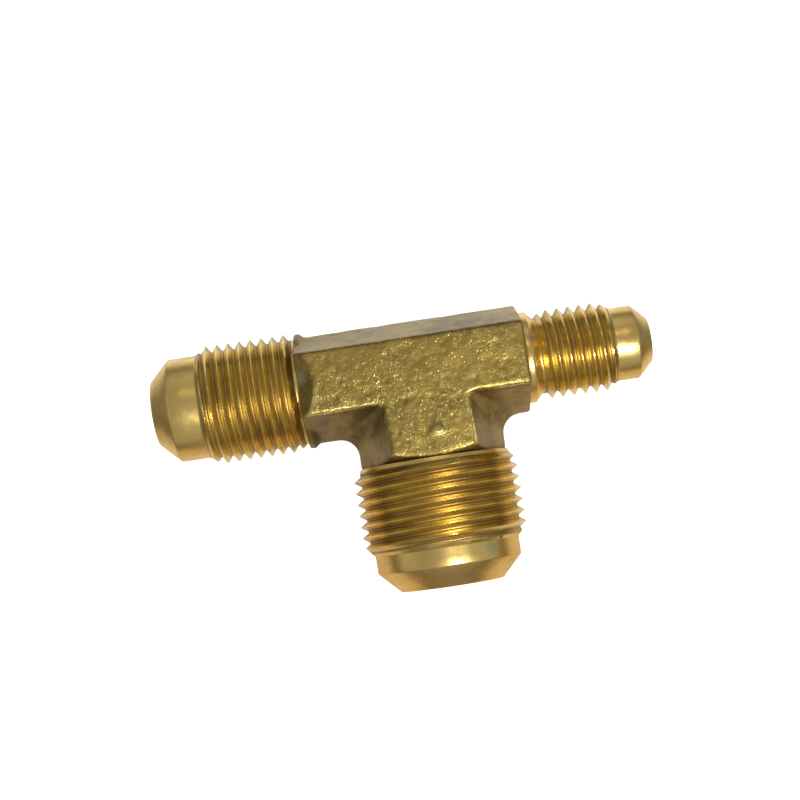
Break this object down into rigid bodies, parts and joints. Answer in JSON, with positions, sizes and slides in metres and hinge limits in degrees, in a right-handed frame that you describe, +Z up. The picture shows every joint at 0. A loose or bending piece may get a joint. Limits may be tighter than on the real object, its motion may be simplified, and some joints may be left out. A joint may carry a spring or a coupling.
{
  "type": "reducing flare tee fitting",
  "caption": "Forged brass reducing flare tee: a run with a large and a small threaded flare end, and a larger threaded flare branch at right angles to it.",
  "frame": {"origin": "middle of the bottom of the bounding box, with the tee lying flat on its back", "axes": "X along the run, large end at -X and small end at +X; -Y along the branch; +Z up, square to the wrench flats"},
  "size_m": [0.067, 0.0364, 0.022],
  "materials": {
    "forged_brass": "forged and tumbled, dull olive gold with fine bright dents",
    "machined_brass": "turned satin, with fine lathe lines"
  },
  "bodies": {
    "root": {"forged_body": "forged_brass", "left_flare_end": "machined_brass", "right_flare_end": "machined_brass", "branch_flare_end": "machined_brass"}
  },
  "joints": []
}
